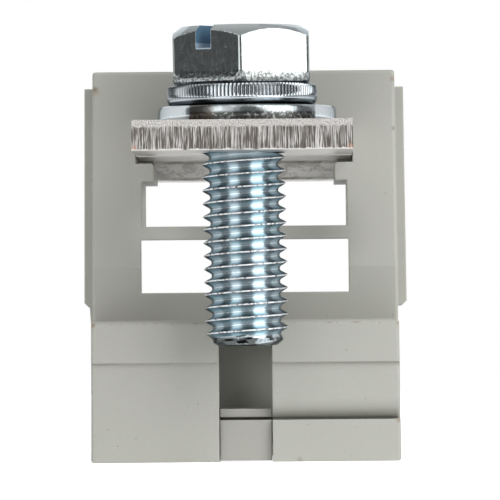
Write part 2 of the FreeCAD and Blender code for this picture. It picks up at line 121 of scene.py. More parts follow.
class Nodes(Tree):
    """Builds the node tree of one new material round its shader."""

    def __init__(self, name):
        self.material = bpy.data.materials.new(name)
        self.material.use_nodes = True
        super().__init__(self.material.node_tree)
        self.shader = self.tree.nodes["Principled BSDF"]
        self.place = self.add("ShaderNodeTexCoord").outputs["Object"]

    def vector(self, operation, *inputs):
        """The outputs of a vector operation: the vector first, a plain number as Value."""
        numbered = dict(enumerate(inputs))
        return self.add("ShaderNodeVectorMath", numbered, operation=operation).outputs

    def noise(self, scale, detail=3.0, roughness=0.5, stretch=(1, 1, 1), shift=(0, 0, 0)):
        """Noise between 0 and 1 whose grains are drawn out where stretch is small."""
        mapped = self.add(
            "ShaderNodeMapping", {"Vector": self.place, "Scale": stretch, "Location": shift}
        )
        node = self.add(
            "ShaderNodeTexNoise",
            {
                "Vector": mapped.outputs[0],
                "Scale": scale,
                "Detail": detail,
                "Roughness": roughness,
            },
        )
        return node.outputs["Fac"]

    def ramp(self, value, low, high, from_value=0.0, to_value=1.0):
        """A smooth step from low to high."""
        return self.add(
            "ShaderNodeMapRange",
            {0: value, 1: low, 2: high, 3: from_value, 4: to_value},
            interpolation_type="SMOOTHSTEP",
        ).outputs[0]

    def mix(self, share, first, second):
        node = self.add("ShaderNodeMix", data_type="RGBA")
        for number, value in ((0, share), (6, first), (7, second)):
            self.feed(node.inputs[number], value)
        return node.outputs[2]

    def split(self, vector):
        return self.add("ShaderNodeSeparateXYZ", {0: vector}).outputs

    def axes(self):
        return self.split(self.place)

    def true_normal(self):
        return self.add("ShaderNodeNewGeometry").outputs["Normal"]

    def spot(self, x, y, z, size, squash=(1, 1, 1)):
        """1 at a place given in millimetres, fading to 0 at size millimetres from it."""
        away = self.vector("SUBTRACT", self.place, (x * MM, y * MM, z * MM))[0]
        away = self.vector("MULTIPLY", away, squash)[0]
        length = self.vector("LENGTH", away)["Value"]
        return self.ramp(length, 0.0, size * MM, 1.0, 0.0)

    def bump(self, height, depth, strength, normal):
        """A bump whose height of 0 to 1 stands for a depth in millimetres."""
        inputs = {"Height": height, "Distance": depth * MM, "Strength": strength, "Normal": normal}
        return self.add("ShaderNodeBump", inputs).outputs[0]

    def soft_edges(self, radius):
        return self.add("ShaderNodeBevel", {"Radius": radius * MM}, samples=6).outputs[0]

    def edges(self, rounded, low=0.97, high=0.80):
        """1 where a rounded normal leaves the true one, which is only at an edge."""
        turn = self.vector("DOT_PRODUCT", rounded, self.true_normal())["Value"]
        return self.ramp(turn, low, high)

    def set(self, **inputs):
        for key, value in inputs.items():
            self.feed(self.shader.inputs[key.replace("_", " ")], value)


# %% [markdown]
# ## Moulded housing
#
# The housing is a grey thermoplastic with a fine matte skin from the mould. Up close it has
# slow changes of tone, a faint grain, a few specks, and a pale line along worn corners. Spots
# of dirt lie on it, and spots of painted light and shade: paler ones in the channel and on the
# left of the rib, and darker ones for the shadow on the right of the rib and below the lower
# window, with painted shade along the top of the wall. The shape is CAD's own, so only the
# finish is made here. The worn corners come from comparing the true normal with one that is
# rounded over a small radius: they differ only at an edge.

# %% Finish of the housing
WORN_GAIN = (1.62, 1.56, 1.46)


def moulded_plastic(name, colour, dirt_and_painted_light=(), dirty_height=None):
    """Grey plastic with spots of dirt and of painted light and shade, and a thin dirty line at a
    height in millimetres.
    """
    n = Nodes(name)
    slow = n.noise(90, 2.0)
    grain = n.noise(5200, 2.0, 0.6)
    pits = n.noise(1500, 4.0, 0.55)
    tone = n.math("MULTIPLY_ADD", slow, 0.10, 0.95)
    tone = n.math("MULTIPLY", tone, n.ramp(grain, 0.3, 0.7, 0.975, 1.015))
    body = n.add("ShaderNodeVectorMath", {0: colour, "Scale": tone}, operation="SCALE").outputs[0]
    rounded = n.soft_edges(0.22)
    worn = n.math("MULTIPLY", n.edges(rounded), n.ramp(n.noise(420, 4.0), 0.35, 0.65, 0.25, 0.6))
    body = n.mix(worn, body, (*[v * k for v, k in zip(colour, WORN_GAIN)], 1))
    specks = n.ramp(n.noise(2300, 1.0, shift=(3, 1, 2)), 0.775, 0.80)
    body = n.mix(n.math("MULTIPLY", specks, 0.55), body, (0.16, 0.13, 0.09, 1))
    if dirty_height:
        off = n.math("ABSOLUTE", n.math("SUBTRACT", n.axes()[2], dirty_height * MM))
        line = n.math("MULTIPLY", n.ramp(off, 0.10 * MM, 0.03 * MM), 0.55)
        dashes = n.ramp(n.noise(800, 4.0, 0.75, stretch=(1, 1, 0.1)), 0.50, 0.60)
        body = n.mix(n.math("MULTIPLY", line, dashes), body, (0.20, 0.12, 0.06, 1))
    # the spots are dirt, and painted light and shade, mixed into the colour
    for x, y, z, size, colour_of_spot, share in dirt_and_painted_light:
        patch = n.math("MULTIPLY", n.spot(x, y, z, size), share)
        body = n.mix(patch, body, (*colour_of_spot, 1))
    skin = n.math("MULTIPLY_ADD", pits, 0.5, n.math("MULTIPLY", grain, 0.5))
    n.set(
        Base_Color=body,
        Roughness=n.ramp(pits, 0.3, 0.7, 0.42, 0.56),
        Normal=n.bump(skin, 0.012, 0.6, rounded),
    )
    n.shader.inputs["IOR"].default_value = 1.5
    return n.material


OCHRE = (0.24, 0.15, 0.06)
BROWN = (0.10, 0.055, 0.03)
# the next two greys are painted light and painted shade
PAINTED_LIGHT_GREY = (0.90, 0.90, 0.83)
PAINTED_SHADE_GREY = (0.29, 0.29, 0.265)
# the place and size of each spot in millimetres, its colour, and how much of it shows
DIRT_AND_PAINTED_LIGHT = [
    (-14.45, -20.0, 36.3, 0.38, BROWN, 1.0),
    (-14.45, -20.0, 36.1, 0.80, OCHRE, 0.5),
    (14.55, -20.0, 37.1, 0.45, OCHRE, 0.7),
    (14.60, -20.0, 32.3, 0.34, BROWN, 0.6),
    (-14.75, -25.0, 13.35, 0.42, OCHRE, 0.8),
    (14.85, -25.0, 13.35, 0.38, OCHRE, 0.7),
    (5.2, -24.65, 0.2, 0.45, BROWN, 0.3),
    (14.8, -24.65, 4.0, 0.45, OCHRE, 0.6),
    (14.9, -24.65, 9.4, 0.40, OCHRE, 0.5),
    # the spots below are painted light and shade, not dirt: a paler one lights the back of the
    # channel and another the left of the rib, and darker ones paint the bolt's shadow on the right
    # of the rib and below the lower window, and shade along the top of the wall
    (3.0, -15.5, 7.5, 6.5, PAINTED_LIGHT_GREY, 0.95),
    (-7.5, -20.0, 22.2, 5.0, PAINTED_LIGHT_GREY, 0.30),
    (7.5, -20.0, 22.2, 5.5, PAINTED_SHADE_GREY, 0.90),
    (0.5, -20.0, 14.3, 8.0, PAINTED_SHADE_GREY, 0.60),
    (-10.0, -20.0, 38.0, 11.0, PAINTED_SHADE_GREY, 0.55),
    (0.0, -20.0, 38.0, 11.0, PAINTED_SHADE_GREY, 0.50),
    (10.0, -20.0, 38.0, 11.0, PAINTED_SHADE_GREY, 0.50),
]
PLASTIC_GREY = (0.432, 0.434, 0.394)
CLIP_GREY = (0.375, 0.374, 0.342)
DIRTY_HEIGHT = 13.42
housing_plastic = moulded_plastic("housing_plastic", PLASTIC_GREY, DIRT_AND_PAINTED_LIGHT, DIRTY_HEIGHT)
clip_plastic = moulded_plastic("clip_plastic", CLIP_GREY)

# %% [markdown]
# ## Zinc-plated steel
#
# The bolt and both washers are steel with a bright zinc layer and a blue passivation. Bare
# metal gets its whole look from what it mirrors, so its colour is simple: a light grey that
# leans to blue, in patches. What makes it real is the surface: fine scratches, dull scuffs and
# a slow waviness that breaks up the reflection.

# %% Finish of the bolt and the washers
def zinc_plate(name, colour, tint, gloss, dents):
    n = Nodes(name)
    patches = n.noise(260, 3.0)
    base = n.mix(n.ramp(patches, 0.35, 0.65), (*colour, 1), (*tint, 1))
    waves = n.noise(600, 3.0)
    hammered = n.noise(1700, 3.0, 0.6)
    grain = n.noise(6500, 2.0, 0.6)
    scuffs = n.ramp(n.noise(1500, 5.0, 0.7), 0.62, 0.74)
    rough = n.math("MULTIPLY_ADD", scuffs, 0.20, gloss)
    height = n.math("MULTIPLY_ADD", scuffs, -0.30, waves)
    height = n.math("MULTIPLY_ADD", grain, 0.18, height)
    height = n.math("MULTIPLY_ADD", hammered, dents, height)
    return n, base, rough, height


def close_plate(n, base, rough, height, depth=0.003):
    n.set(
        Base_Color=base,
        Metallic=1.0,
        Roughness=rough,
        Normal=n.bump(height, depth, 1.0, n.soft_edges(0.07)),
    )
    n.shader.inputs["Specular Tint"].default_value = (0.50, 0.53, 0.55, 1)
    return n.material


def round_axis(n):
    """A point's place from the bolt's leaning axis: sideways, across, and the distance."""
    x, y, z = n.axes()
    above = n.math("SUBTRACT", z, LEAN_Z)
    aside = n.math("MULTIPLY_ADD", above, -math.sin(LEAN_ANGLE), n.math("SUBTRACT", x, AXIS.x))
    across = n.math("SUBTRACT", y, AXIS.y)
    square = n.math("MULTIPLY_ADD", aside, aside, n.math("MULTIPLY", across, across))
    return aside, across, n.math("SQRT", square)


def spring_finish():
    """Drawn wire, darkened with painted shade along its lower edge and in the grooves between its
    ribs.
    """
    n, base, rough, height = zinc_plate(
        "zinc_spring", (0.44, 0.465, 0.485), (0.36, 0.40, 0.43), 0.16, 0.5
    )
    low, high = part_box("spring_washer")
    z = n.axes()[2]
    # painted shade: the lowest part of the wire is darkened
    low_edge_shade = n.ramp(z, low.z + 0.55 * MM, low.z + 0.30 * MM)
    base = n.mix(n.math("MULTIPLY", low_edge_shade, 0.9), base, (0.05, 0.055, 0.06, 1))
    # painted shade: the grooves between the ribs are darkened
    radius = round_axis(n)[2]
    rib_groove_shade = n.ramp(radius, high.x - 0.05 * MM, high.x - 0.11 * MM)
    rib_groove_shade = n.math("MULTIPLY", rib_groove_shade, n.ramp(z, low.z + 0.82 * MM, low.z + 0.95 * MM))
    rib_groove_shade = n.math("MULTIPLY", rib_groove_shade, n.ramp(z, high.z - 0.10 * MM, high.z - 0.24 * MM))
    base = n.mix(n.math("MULTIPLY", rib_groove_shade, 0.75), base, (0.06, 0.065, 0.06, 1))
    return close_plate(n, base, rough, height, 0.012)


def washer_finish():
    """Punched sheet: its ends are a paler zinc and its middle is mottled dark with a brown patch
    on the left, painted reflections of the white surroundings and the dark cards.
    """
    n, base, rough, height = zinc_plate(
        "zinc_washer", (0.49, 0.53, 0.545), (0.42, 0.47, 0.49), 0.13, 0.9
    )
    low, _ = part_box("flat_washer")
    x, _, z = n.axes()
    off = n.math("ABSOLUTE", n.math("SUBTRACT", x, 0.95 * MM))
    sector = n.ramp(off, 6.1 * MM, 5.8 * MM)
    torn = n.math("MULTIPLY", sector, n.ramp(z, low.z + 0.98 * MM, low.z + 0.66 * MM))
    # painted reflection: the middle is mottled dark, as it mirrors the dark card in front, and the
    # ends are paler, as they mirror the white surroundings
    thin_zinc_and_painted_reflection = n.noise(1100, 5.0, 0.72, stretch=(1, 1, 1.7), shift=(7, 2, 0))
    thin_zinc_and_painted_reflection = n.math("MULTIPLY_ADD", n.ramp(thin_zinc_and_painted_reflection, 0.42, 0.60), -0.35, 0.60)
    thin_zinc_and_painted_reflection = n.math("MULTIPLY", sector, thin_zinc_and_painted_reflection)
    base = n.mix(sector, (0.60, 0.65, 0.67, 1), base)
    base = n.mix(thin_zinc_and_painted_reflection, base, (0.12, 0.125, 0.12, 1))
    specks = n.ramp(n.noise(3000, 3.0, 0.7), 0.50, 0.64)
    base = n.mix(torn, base, n.mix(specks, (0.055, 0.058, 0.055, 1), (0.24, 0.25, 0.245, 1)))
    # painted reflection of the left dark card: a brown patch on the left of the middle
    painted_card_reflection = n.math("MULTIPLY", sector, n.ramp(x, -2.5 * MM, -3.1 * MM))
    base = n.mix(n.math("MULTIPLY", painted_card_reflection, 0.6), base, (0.10, 0.075, 0.06, 1))
    rough = n.math("MULTIPLY_ADD", sector, 0.09, rough)
    return close_plate(n, base, rough, height, 0.014)


# %% [markdown]
# The bolt's finish changes along its length, because each part of it was formed in its own way.
# The lowest millimetre of the head kept the rough skin of the forging die. The slot was sawn.
# The crests of the thread are where the metal rolled up from both flanks meets, so they are
# ragged and glitter. In the groove between them light goes from flank to flank and comes out
# after three reflections as if it had met an upright cylinder, bluer each time. That is why a
# real thread shows unbroken upright bands. Few renderers follow so many reflections without
# noise, so the groove's normals point almost straight outwards and its colour is the metal's
# colour three times over.

# %% Finish of the bolt
bolt_low, bolt_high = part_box("terminal_bolt")
AXIS = Vector(((bolt_low.x + bolt_high.x) / 2, (bolt_low.y + bolt_high.y) / 2, 0))
TIP_Z = bolt_low.z
BOLT_LONG = 25.0 * MM
SEAT_Z = TIP_Z + BOLT_LONG
HEAD_HIGH = bolt_high.z - SEAT_Z
NECK = 3.0 * MM
SLOT_TURN = math.radians(33)
SLOT_WIDE = 1.6 * MM
SLOT_DEEP = 2.2 * MM
CREST = 4.0 * MM
ROOT = 3.27 * MM
# the bolt leans to the left, about the middle of the bar's thickness
LEAN_ANGLE = math.radians(-0.72)
LEAN_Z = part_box("busbar")[1].z - 1.45 * MM
print("bolt axis, mm:", [round(v / MM, 2) for v in AXIS], "tip at", round(TIP_Z / MM, 2))


def bolt_finish():
    n, base, rough, height = zinc_plate(
        "zinc_bolt", (0.50, 0.55, 0.575), (0.43, 0.50, 0.54), 0.12, 0.6
    )
    z = n.axes()[2]
    aside, across, radius = round_axis(n)
    on_head = n.ramp(z, SEAT_Z - 0.1 * MM, SEAT_Z + 0.1 * MM)
    film = n.noise(2600, 6.0, 0.75, stretch=(1, 1, 0.5))
    thin_zinc_and_painted_reflection = n.math("MULTIPLY", on_head, n.ramp(film, 0.66, 0.36, 0.55, 1.0))
    base = n.mix(thin_zinc_and_painted_reflection, base, (0.285, 0.295, 0.285, 1))
    spark = n.math("MULTIPLY", on_head, n.ramp(film, 0.67, 0.74))
    base = n.mix(spark, base, (0.80, 0.81, 0.80, 1))
    rough = n.math("MULTIPLY_ADD", n.ramp(film, 0.58, 0.74), 0.10, rough)
    upwards = n.split(n.true_normal())[2]
    crown = n.math("MULTIPLY", on_head, n.ramp(upwards, 0.35, 0.60))
    steep = n.ramp(radius, 5.8 * MM, 7.1 * MM)
    crown_metal = n.mix(steep, (0.42, 0.445, 0.45, 1), (0.27, 0.29, 0.295, 1))
    base = n.mix(n.math("MULTIPLY", crown, 0.9), base, crown_metal)
    crumbs = n.noise(3900, 4.0, 0.7)
    die_skin = n.ramp(
        n.math("MULTIPLY_ADD", n.noise(1300, 4.0, 0.6), 1.7 * MM, z),
        SEAT_Z + 2.15 * MM,
        SEAT_Z + 1.60 * MM,
    )
    die_skin = n.math("MULTIPLY", die_skin, on_head)
    nicks = n.edges(n.soft_edges(0.16), 0.995, 0.950)
    nicks = n.math("MULTIPLY", nicks, n.ramp(n.noise(2100, 4.0, 0.7), 0.44, 0.58))
    nicks = n.math("MULTIPLY", nicks, on_head)
    ragged = n.ramp(radius, 3.78 * MM, 3.90 * MM)
    ragged = n.math("MULTIPLY", ragged, n.math("SUBTRACT", 1.0, on_head))
    pitted = n.math("MULTIPLY", die_skin, n.ramp(crumbs, 0.55, 0.46))
    base = n.mix(n.math("MULTIPLY", pitted, 0.85), base, (0.07, 0.075, 0.075, 1))
    dull = n.mix(n.ramp(crumbs, 0.38, 0.52), (0.10, 0.105, 0.11, 1), (0.86, 0.87, 0.88, 1))
    share = n.math("MULTIPLY", n.math("MAXIMUM", ragged, nicks), 0.9)
    base = n.mix(share, base, dull)
    rude = n.math("MAXIMUM", n.math("MULTIPLY", die_skin, 4.0), n.math("MULTIPLY", nicks, 8.0))
    rude = n.math("MAXIMUM", rude, n.math("MULTIPLY", ragged, 7.0))
    height = n.math("MULTIPLY_ADD", crumbs, rude, height)
    rough = n.math("MULTIPLY_ADD", nicks, 0.18, n.math("MULTIPLY_ADD", ragged, 0.38, rough))
    # painted reflection: the lowest millimetre of the tip is darkened in patches, as the dark
    # floor below shows in it
    tip = n.ramp(z, TIP_Z + 1.0 * MM, TIP_Z + 0.7 * MM)
    tip_dark_reflection = n.ramp(n.noise(520, 4.0, 0.65, shift=(2, 0, 5)), 0.58, 0.47)
    tip = n.math("MULTIPLY", tip, tip_dark_reflection)
    base = n.mix(n.math("MULTIPLY", tip, 0.92), base, (0.07, 0.075, 0.075, 1))
    sawn = n.math("MULTIPLY", across, -math.sin(SLOT_TURN))
    sawn = n.math("ABSOLUTE", n.math("MULTIPLY_ADD", aside, math.cos(SLOT_TURN), sawn))
    sawn = n.ramp(sawn, 0.86 * MM, 0.82 * MM)
    sawn = n.math("MULTIPLY", sawn, n.ramp(z, SEAT_Z + 3.2 * MM, SEAT_Z + 3.3 * MM))
    slot_floor = SEAT_Z + HEAD_HIGH - SLOT_DEEP
    # painted shade in the slot: its walls are a darker blue than the part near its floor
    lower = n.ramp(z, slot_floor + 0.50 * MM, slot_floor + 0.38 * MM)
    slot_blue_shaded = n.mix(lower, (0.10, 0.19, 0.28, 1), (0.36, 0.46, 0.54, 1))
    base = n.mix(sawn, base, slot_blue_shaded)
    rough = n.math("MULTIPLY_ADD", sawn, 0.40, rough)
    close_plate(n, base, rough, height)
    n.set(Metallic=n.math("MULTIPLY_ADD", sawn, -0.7, 1.0))
    return n.material


def thread_finish():
    """Rolled flanks and roots, whose normals point almost straight outwards."""
    n, base, rough, height = zinc_plate(
        "zinc_thread", (0.155, 0.195, 0.225), (0.115, 0.198, 0.235), 0.22, 0.3
    )
    aside, across, radius = round_axis(n)
    root_shine = n.math("MULTIPLY", n.ramp(radius, ROOT + 0.34 * MM, ROOT + 0.01 * MM), 0.58)
    base = n.mix(root_shine, base, (0.34, 0.43, 0.475, 1))
    # a painted highlight: a thin pale line along the bottom of each root
    root_highlight_line = n.math("MULTIPLY", n.ramp(radius, ROOT + 0.018 * MM, ROOT + 0.004 * MM), 0.36)
    base = n.mix(root_highlight_line, base, (0.80, 0.88, 0.92, 1))
    crest_shade = n.math("MULTIPLY", n.ramp(radius, ROOT + 0.26 * MM, CREST - 0.02 * MM), 0.62)
    base = n.mix(crest_shade, base, (0.04, 0.05, 0.06, 1))
    rise = n.math("MULTIPLY", radius, 0.03)
    outwards = n.add("ShaderNodeCombineXYZ", {0: aside, 1: across, 2: rise}).outputs[0]
    outwards = n.add(
        "ShaderNodeVectorTransform",
        {0: outwards},
        vector_type="NORMAL",
        convert_from="OBJECT",
        convert_to="WORLD",
    ).outputs[0]
    outwards = n.vector("NORMALIZE", outwards)[0]
    true_share = (0.04, 0.04, 0.04)
    leant = n.vector("MULTIPLY_ADD", n.true_normal(), true_share, outwards)[0]
    leant = n.vector("NORMALIZE", leant)[0]
    close_plate(n, base, rough, height)
    n.set(Normal=n.bump(height, 0.003, 1.0, leant))
    return n.material


zinc_spring = spring_finish()
zinc_washer = washer_finish()
zinc_bolt = bolt_finish()
zinc_thread = thread_finish()

# %% [markdown]
# ## Tin-plated copper
#
# The bar is copper with a dull tin layer. Its long faces carry rolling marks along the bar. Its
# front end was cut by a shear: a rough burr along the top, upright tear marks below it, and bare
# copper at both lower corners. In and near the housing the faces that look forwards or down are
# a rougher tin, and their paler colour is painted light. Masks made from the place along the bar
# keep each of these where it belongs.

# %% Finish of the bar
def tinned_copper(name, front, low, thick):
    n = Nodes(name)
    _, y, z = n.axes()
    end = n.ramp(y, front + 0.35 * MM, front + 0.10 * MM)
    inside = n.ramp(y, front + 16.0 * MM, front + 20.0 * MM)
    high = n.math("DIVIDE", n.math("SUBTRACT", z, low), thick)
    crumbs = n.noise(8000, 3.0, 0.6)
    uneven = n.math("MULTIPLY_ADD", n.noise(1600, 2.0, stretch=(1, 0.1, 0.1)), 0.16, high)
    burr = n.math("MULTIPLY", end, n.ramp(uneven, 0.80, 0.88))
    tear = n.noise(7000, 3.0, 0.7, stretch=(1, 0.02, 0.008))
    fine_tear = n.noise(17000, 2.0, 0.6, stretch=(1, 0.02, 0.03))
    tears = n.math("MULTIPLY_ADD", fine_tear, 0.64, n.math("MULTIPLY", tear, 0.46))
    rolled = n.noise(2600, 3.0, 0.6, stretch=(1, 0.04, 1))
    blotch = n.noise(330, 4.0, 0.6)
    plain = n.mix(n.ramp(blotch, 0.35, 0.65), (0.46, 0.445, 0.435, 1), (0.56, 0.545, 0.53, 1))
    stains = n.ramp(n.noise(1500, 5.0, 0.75, stretch=(0.4, 1, 1)), 0.60, 0.44)
    rough_tin_painted_light = n.mix(stains, (0.72, 0.70, 0.68, 1), (1.0, 0.99, 0.98, 1))
    smears = n.noise(700, 3.0, 0.6, stretch=(1, 0.1, 0.5))
    tears = n.math("MULTIPLY_ADD", smears, 0.22, n.math("SUBTRACT", tears, 0.11))
    torn = n.mix(n.ramp(tears, 0.52, 0.67), (0.095, 0.084, 0.075, 1), (0.55, 0.54, 0.53, 1))
    shreds = n.mix(n.ramp(crumbs, 0.4, 0.6), (0.27, 0.26, 0.25, 1), (0.50, 0.49, 0.47, 1))
    facing = n.split(n.true_normal())
    # painted light: faces in and near the housing that look forwards or down get a paler colour;
    # their extra roughness is the tin's own
    lightened_faces = n.math("MINIMUM", facing[1], facing[2])
    lightened_faces = n.math("MULTIPLY", inside, n.ramp(lightened_faces, -0.3, -0.7))
    colour = n.mix(lightened_faces, plain, rough_tin_painted_light)
    colour = n.mix(end, colour, torn)
    colour = n.mix(burr, colour, shreds)
    rolled_over = n.math("MULTIPLY", end, n.ramp(uneven, 0.14, 0.10))
    colour = n.mix(rolled_over, colour, (0.56, 0.545, 0.52, 1))
    for side in (-1, 1):
        bare = n.spot(side * 10.2, front / MM, low / MM + 0.30, 0.45, (1, 1, 1.4))
        bare = n.math("MULTIPLY", bare, n.ramp(crumbs, 0.42, 0.55))
        colour = n.mix(bare, colour, (0.44, 0.23, 0.14, 1))
    height = n.math("MULTIPLY_ADD", rolled, 0.12, n.math("MULTIPLY", blotch, 0.10))
    height = n.math("MULTIPLY_ADD", n.math("MULTIPLY", tears, end), 1.0, height)
    height = n.math("MULTIPLY_ADD", n.math("MULTIPLY", crumbs, burr), 0.8, height)
    rough = n.math("MULTIPLY_ADD", end, 0.06, n.ramp(blotch, 0.3, 0.7, 0.30, 0.42))
    n.set(
        Base_Color=colour,
        Metallic=1.0,
        Roughness=n.math("MULTIPLY_ADD", inside, 0.30, rough),
        Normal=n.bump(height, 0.05, 1.0, n.soft_edges(0.05)),
    )
    return n.material


bar_low, bar_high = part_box("busbar")
BAR_FRONT = bar_low.y
BAR_TOP = bar_high.z
BAR_THICK = 2.9 * MM
tinned = tinned_copper("tinned_copper", BAR_FRONT, BAR_TOP - BAR_THICK, BAR_THICK)

# %% [markdown]
# ## Give the CAD nodes their finishes
#
# A CAD node keeps its mesh, so its finish goes into its material slots.

# %% Assign the finishes
FINISHES = {
    "housing": housing_plastic,
    "busbar": tinned,
    "terminal_bolt": zinc_bolt,
    "spring_washer": zinc_spring,
    "flat_washer": zinc_washer,
    "rail_clip": clip_plastic,
}
for node_name, finish in FINISHES.items():
    cad_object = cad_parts[node_name]
    for material_slot in cad_object.material_slots:
        material_slot.material = finish
    print(node_name, "wears", finish.name)


# %% [markdown]
# ## Helpers for new pieces
#
# New pieces are shaped in a bmesh and then become an object at the origin, with their place in
# the mesh. One helper does that for all of them. It also shades them smooth up to an angle, so
# that facets stay crisp. The others draw an outline, spin it round the upright axis, level or
# rising, and draw a vertex in towards that axis.

# %% Turn a bmesh into a piece
def finish_piece(name, bm, material, body, node, crisp=32):
    bmesh.ops.remove_doubles(bm, verts=bm.verts, dist=1e-7)
    bmesh.ops.recalc_face_normals(bm, faces=bm.faces)
    mesh = bpy.data.meshes.new(name)
    bm.to_mesh(mesh)
    bm.free()
    mesh.polygons.foreach_set("use_smooth", [True] * len(mesh.polygons))
    mesh.set_sharp_from_angle(angle=math.radians(crisp))
    mesh.materials.append(material)
    piece = bpy.data.objects.new(name, mesh)
    bpy.context.collection.objects.link(piece)
    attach(piece, body)
    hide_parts(node)
    print(name, len(mesh.vertices), "vertices,", len(mesh.polygons), "faces")
    return piece


def chain(bm, points):
    """A chain of vertices and edges through points given as (radius, height)."""
    verts = [bm.verts.new((radius, 0, height)) for radius, height in points]
    edges = [bm.edges.new(pair) for pair in zip(verts, verts[1:])]
    return verts + edges


def spin(bm, outline, steps, merge=True, angle=2 * math.pi, rise=0.0):
    """Spin an outline round the upright axis, rising by so much with each step."""
    bmesh.ops.spin(
        bm,
        geom=outline,
        cent=(0, 0, 0),
        axis=(0, 0, 1),
        dvec=(0, 0, rise),
        angle=angle,
        steps=steps,
        use_merge=merge,
    )


def draw_in(vert, share):
    """Move a vertex towards the upright axis, to a share of its distance."""
    vert.co.x *= share
    vert.co.y *= share


# %% [markdown]
# ## Thread
#
# A thread is a V that climbs round the shank by one pitch to a turn, 1.25 mm on M8. So an
# upright outline of V's, spun once round the axis while it rises by one pitch, meets itself one
# V higher and closes into a helix. The ends are then cut off level, and the tip is pressed into
# a rounded cone, where the thread runs out. START is the share of a turn by which the helix is
# wound on, so that its crests meet the bar as they do in the photograph.

# %% Spin the thread
PITCH = 1.25 * MM
START = 0.36
TURNS = 22
STEPS_TO_TURN = 120
TIP_BEVEL = 1.35 * MM


def tip_radius(height):
    """How wide the cone of the tip is at a height above the bolt's end."""
    share = max(0.0, height) / TIP_BEVEL
    return (2.63 + 1.37 * share**0.55) * MM


def spin_thread():
    bm = bmesh.new()
    # one V, as distances from the axis and shares of a pitch
    one_turn = [
        (CREST - 0.045 * MM, 0.000),
        (CREST - 0.008 * MM, 0.035),
        (CREST, 0.060),
        (CREST - 0.008 * MM, 0.085),
        (CREST - 0.045 * MM, 0.120),
        (ROOT + 0.095 * MM, 0.365),
        (ROOT + 0.025 * MM, 0.450),
        (ROOT, 0.545),
        (ROOT + 0.025 * MM, 0.640),
        (ROOT + 0.095 * MM, 0.725),
    ]
    first_z = TIP_Z - (2 - START) * PITCH
    points = [
        (radius, first_z + (turn + share) * PITCH)
        for turn in range(TURNS)
        for radius, share in one_turn
    ]
    points.append((one_turn[0][0], first_z + TURNS * PITCH))
    spin(bm, chain(bm, points), STEPS_TO_TURN, merge=False, rise=PITCH / STEPS_TO_TURN)
    bmesh.ops.remove_doubles(bm, verts=bm.verts, dist=0.004 * MM)
    for height, outer, inner in ((TIP_Z, False, True), (SEAT_Z - NECK, True, False)):
        bmesh.ops.bisect_plane(
            bm,
            geom=bm.verts[:] + bm.edges[:] + bm.faces[:],
            plane_co=(0, 0, height),
            plane_no=(0, 0, 1),
            clear_outer=outer,
            clear_inner=inner,
        )
    for vert in bm.verts:
        room = tip_radius(vert.co.z - TIP_Z)
        radius = math.hypot(vert.co.x, vert.co.y)
        if radius > room:
            draw_in(vert, room / radius)
    return bm


# %% [markdown]
# ## Bolt head
#
# The head is a hexagon with a flat top and a cone round it, so its faces end in arcs above, and
# the forging die has drawn its corners in below. Spinning a plain outline gives a round blank.
# Moving each vertex in to the hexagon's distance in its direction gives the flats, and the cone
# then gives the right height for the rim at each direction, so the arcs need no boolean cut.
# Only the screwdriver slot is cut with one, and for that the blank has to be closed.

# %% Shape the head
FLATS = 13.0 * MM
CROWN = 5.85 * MM
CROWN_SLOPE = 0.72
CORNER = 7.43 * MM
FORGED_LOSS = 0.42 * MM
FORGED_HIGH = 1.10 * MM
RIM_ROUND = 0.30 * MM


def side_distance(angle, height):
    """How far the hexagon's side is from the axis in a direction; one corner points to -Y."""
    inside = (angle + math.pi / 2) % (math.pi / 3) - math.pi / 6
    low = max(0.0, 1 - height / FORGED_HIGH)
    above = max(0.0, RIM_ROUND - height)
    rim = RIM_ROUND - math.sqrt(RIM_ROUND**2 - above**2)
    return min(FLATS / 2 / math.cos(inside), CORNER - FORGED_LOSS * low**2.2) - rim


def crown_drop(radius):
    """How far the crown's cone has fallen away at a distance from the axis."""
    return CROWN_SLOPE * max(0.0, radius - CROWN)


def shape_head():
    bm = bmesh.new()
    blank = [
        (0.0, -NECK),
        (3.90 * MM, -NECK),
        (3.90 * MM, -0.15 * MM),
        (4.10 * MM, 0.0),
        (FLATS, 0.0),
        (FLATS, 0.04 * MM),
        (FLATS, 0.14 * MM),
        (FLATS, RIM_ROUND),
        (FLATS, 0.65 * MM),
        (FLATS, 1.00 * MM),
        (FLATS, FORGED_HIGH),
        (FLATS, HEAD_HIGH),
        (6.40 * MM, HEAD_HIGH),
        (CROWN, HEAD_HIGH),
        (0.0, HEAD_HIGH),
    ]
    spin(bm, chain(bm, blank), 360)
    for vert in bm.verts:
        radius = math.hypot(vert.co.x, vert.co.y)
        on_crown = vert.co.z > HEAD_HIGH - 0.01 * MM
        if radius > 6.5 * MM:
            side = side_distance(math.atan2(vert.co.y, vert.co.x), vert.co.z)
            draw_in(vert, side / radius)
            radius = side
        if on_crown:
            vert.co.z = HEAD_HIGH - crown_drop(radius)
    bmesh.ops.remove_doubles(bm, verts=bm.verts, dist=1e-7)
    bmesh.ops.recalc_face_normals(bm, faces=bm.faces)
    bmesh.ops.translate(bm, verts=bm.verts, vec=(0, 0, SEAT_Z))
    return bm


# %% [markdown]
# ## Whole bolt
#
# The slot is cut into the head, and the thread joins it in one mesh whose open rims are filled.
# Only the flanks and roots of the thread take the thread's own finish. The bolt in the
# photograph leans to the left in its hole, and the spring washer under its head goes with it.
# Leaning lifts the right side of the head, so what comes out above the CAD head is pressed back
# to its height.

# %% Join head and thread, and cut the slot
CUTTER_LONG = 20 * MM
CUTTER_HIGH = 4 * MM


def new_object(name, bm):
    mesh = bpy.data.meshes.new(name)
    bm.to_mesh(mesh)
    bm.free()
    made = bpy.data.objects.new(name, mesh)
    bpy.context.collection.objects.link(made)
    return made


